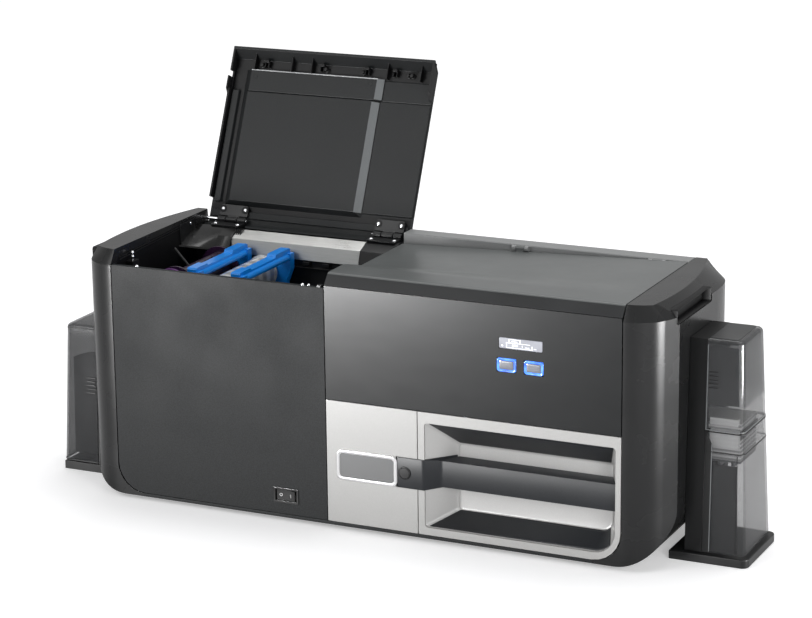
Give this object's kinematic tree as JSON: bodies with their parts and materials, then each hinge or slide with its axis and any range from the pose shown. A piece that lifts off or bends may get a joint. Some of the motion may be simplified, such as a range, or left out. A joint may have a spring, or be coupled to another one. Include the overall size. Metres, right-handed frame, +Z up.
{
  "type": "desktop id card printer with laminator",
  "caption": "Wide desktop card printer with an attached laminator, a hinged lid standing open over blue film cartridges, a recessed silver front and smoked card hoppers at both ends.",
  "frame": {"origin": "centre of the whole machine's footprint on the table, lid open", "axes": "+X to the machine's right as its user sees it, +Y to its back, +Z up"},
  "size_m": [0.8704, 0.3146, 0.4854],
  "materials": {
    "charcoal": "fine texture",
    "cap_black": "satin gloss",
    "black_plastic": "satin",
    "gloss_black": "piano gloss",
    "silver_paint": "satin metallic",
    "display": "clear",
    "light_ring": "lit blue",
    "button_grey": "satin",
    "black_steel": "satin black",
    "steel": "brushed",
    "bright_steel": "polished",
    "aluminium": "brushed",
    "rubber_black": "matt",
    "rubber_red": "matt",
    "blue_plastic": "gloss",
    "film_purple": "glossy film",
    "film_white": "glossy film",
    "ribbon_yellow": "glossy film",
    "ribbon_blue": "glossy film",
    "card_white": "satin",
    "smoked": "smoked"
  },
  "bodies": {
    "machine": {"base_tray": "charcoal", "rubber_feet": "rubber_black", "left_end_cap": "cap_black", "right_end_cap": "cap_black", "rear_panel": "charcoal", "rear_top_strip": "charcoal", "left_front_cover": "charcoal", "upper_front_panel": "gloss_black", "badge_panel": "silver_paint", "recess_panel": "silver_paint", "recess_tub": "silver_paint", "trim_band": "charcoal", "badge_plate": "silver_paint", "lock_plug": "black_plastic", "display_window": "display", "button_light_rings": "light_ring", "switch_bezel": "black_plastic", "mechanism_deck": "black_plastic", "centre_divider": "black_plastic", "cross_rail": "aluminium", "hinge_brackets": "black_steel", "fixed_hinge_leaves": "black_steel", "hinge_pins": "bright_steel", "frame_screws": "bright_steel", "cover_hinge_pins": "bright_steel", "print_head": "steel", "laminator_frame": "black_plastic", "printer_frame": "steel", "rear_sockets": "black_plastic", "input_dock_frame": "black_plastic", "hopper_base": "charcoal", "upper_card_stack": "card_white", "door_pins": "bright_steel", "output_dock_frame": "black_plastic"},
    "laminator_lid": {"lid_shell": "cap_black", "lid_inner_panel": "cap_black", "lid_hinge_leaves": "black_steel", "lid_screws": "bright_steel"},
    "cover": {"printer_cover": "charcoal"},
    "button_left": {"left_button": "button_grey"},
    "button_right": {"right_button": "button_grey"},
    "rocker": {"power_rocker": "black_plastic"},
    "input_door_upper": {"upper_hopper_door": "smoked"},
    "input_door_lower": {"lower_hopper_door": "smoked"},
    "output_door": {"output_hopper_door": "smoked"},
    "card_lift": {"card_lift_tray": "black_plastic", "lower_card_stack": "card_white"},
    "cartridge_1": {"film_cartridge_1": "blue_plastic"},
    "cartridge_2": {"film_cartridge_2": "blue_plastic"},
    "film_1": {"film_spool_1": "film_purple"},
    "film_2": {"film_spool_2": "film_white"},
    "takeup_1": {"takeup_spool_1": "film_white"},
    "takeup_2": {"takeup_spool_2": "film_white"},
    "ribbon_supply": {"ribbon_supply_spool": "ribbon_yellow"},
    "ribbon_takeup": {"ribbon_takeup_spool": "ribbon_blue"},
    "platen": {"platen_roller": "rubber_black"},
    "roller_upper": {"upper_lam_roller": "rubber_red"},
    "roller_lower": {"lower_lam_roller": "rubber_black"}
  },
  "joints": [
    {"name": "lid_hinge", "type": "hinge", "parent": "machine", "child": "laminator_lid", "pos_m": [-0.1749, 0.06668, 0.288], "axis": [-1, 0, 0], "range_deg": [-114, 0]},
    {"name": "cover_hinge", "type": "hinge", "parent": "machine", "child": "cover", "pos_m": [0.193, 0.04968, 0.294], "axis": [-1, 0, 0], "range_deg": [0, 90]},
    {"name": "left_button_press", "type": "slide", "parent": "machine", "child": "button_left", "axis": [0, 1, 0], "range_m": [0, 0.0012], "stiffness_N_per_m": 400},
    {"name": "right_button_press", "type": "slide", "parent": "machine", "child": "button_right", "axis": [0, 1, 0], "range_m": [0, 0.0012], "stiffness_N_per_m": 400},
    {"name": "rocker_tilt", "type": "hinge", "parent": "machine", "child": "rocker", "pos_m": [-0.0925, -0.15262, 0.03215], "axis": [0, 0, 1], "range_deg": [0, 16]},
    {"name": "upper_door_hinge", "type": "hinge", "parent": "machine", "child": "input_door_upper", "pos_m": [0.3862, 0.00718, 0.2], "axis": [0, 0, 1], "range_deg": [0, 100]},
    {"name": "lower_door_hinge", "type": "hinge", "parent": "machine", "child": "input_door_lower", "pos_m": [0.3862, 0.00718, 0.08], "axis": [0, 0, 1], "range_deg": [0, 100]},
    {"name": "output_door_hinge", "type": "hinge", "parent": "machine", "child": "output_door", "pos_m": [-0.3862, 0.00718, 0.095], "axis": [0, 0, -1], "range_deg": [0, 100]},
    {"name": "card_lift_slide", "type": "slide", "parent": "machine", "child": "card_lift", "axis": [0, 0, -1], "range_m": [0, 0.07], "stiffness_N_per_m": 60, "springref_m": -0.06},
    {"name": "cartridge_1_lift", "type": "slide", "parent": "machine", "child": "cartridge_1", "axis": [0, 0, 1], "range_m": [0, 0.12]},
    {"name": "film_1_spin", "type": "hinge", "parent": "cartridge_1", "child": "film_1", "pos_m": [-0.261, -0.04282, 0.245], "axis": [0, 1, 0], "continuous": true},
    {"name": "takeup_1_spin", "type": "hinge", "parent": "machine", "child": "takeup_1", "pos_m": [-0.219, -0.04282, 0.209], "axis": [0, 1, 0], "continuous": true},
    {"name": "cartridge_2_lift", "type": "slide", "parent": "machine", "child": "cartridge_2", "axis": [0, 0, 1], "range_m": [0, 0.12]},
    {"name": "film_2_spin", "type": "hinge", "parent": "cartridge_2", "child": "film_2", "pos_m": [-0.204, -0.04282, 0.245], "axis": [0, 1, 0], "continuous": true},
    {"name": "takeup_2_spin", "type": "hinge", "parent": "machine", "child": "takeup_2", "pos_m": [-0.162, -0.04282, 0.209], "axis": [0, 1, 0], "continuous": true},
    {"name": "ribbon_supply_spin", "type": "hinge", "parent": "machine", "child": "ribbon_supply", "pos_m": [0.08, -0.04282, 0.209], "axis": [0, 1, 0], "continuous": true},
    {"name": "ribbon_takeup_spin", "type": "hinge", "parent": "machine", "child": "ribbon_takeup", "pos_m": [0.205, -0.04282, 0.209], "axis": [0, 1, 0], "continuous": true},
    {"name": "platen_spin", "type": "hinge", "parent": "machine", "child": "platen", "pos_m": [0.1425, -0.04282, 0.132], "axis": [0, 1, 0], "continuous": true},
    {"name": "upper_roller_spin", "type": "hinge", "parent": "machine", "child": "roller_upper", "pos_m": [-0.096, -0.04282, 0.1512], "axis": [0, 1, 0], "continuous": true},
    {"name": "lower_roller_spin", "type": "hinge", "parent": "machine", "child": "roller_lower", "pos_m": [-0.096, -0.04282, 0.1328], "axis": [0, 1, 0], "continuous": true}
  ],
  "couplings": [
    {"joint": "lower_roller_spin", "follows": "upper_roller_spin", "ratio": -1}
  ]
}
